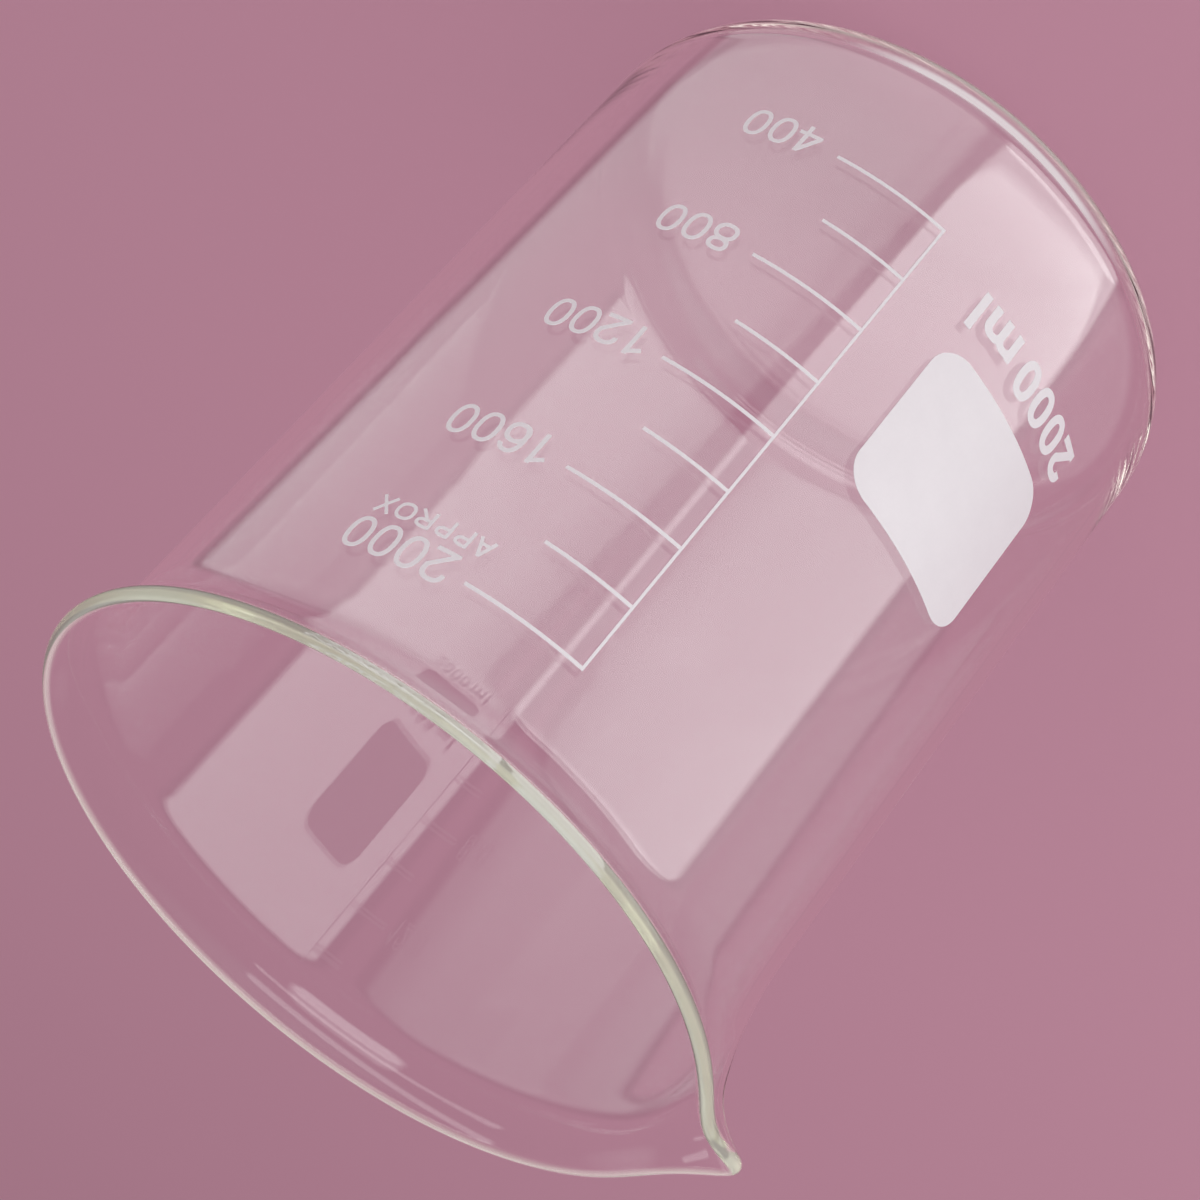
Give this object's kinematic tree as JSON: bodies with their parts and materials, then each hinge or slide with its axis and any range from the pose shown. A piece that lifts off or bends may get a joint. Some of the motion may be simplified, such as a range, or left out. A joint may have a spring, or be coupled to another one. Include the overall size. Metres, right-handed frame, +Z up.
{
  "type": "griffin beaker",
  "caption": "Low-form glass beaker with straight wall, flared fire-polished rim, pouring spout and white enamel graduations, for mixing, heating and pouring liquids.",
  "frame": {"origin": "centre of the flat base, on the beaker's axis, at the surface it stands on", "axes": "+Z up along the beaker's axis to the mouth; the scale line faces -Y; the spout points to -X, 83.7 degrees round from the scale line"},
  "size_m": [0.1525, 0.1432, 0.187],
  "materials": {
    "clear_glass": "clear borosilicate, fire polished",
    "white_enamel": "fired ceramic enamel, satin"
  },
  "bodies": {
    "root": {"glass_body": "clear_glass", "graduation_scale": "white_enamel", "graduation_numerals": "white_enamel", "approx_note": "white_enamel", "marking_patch": "white_enamel", "capacity_mark": "white_enamel"}
  },
  "joints": []
}
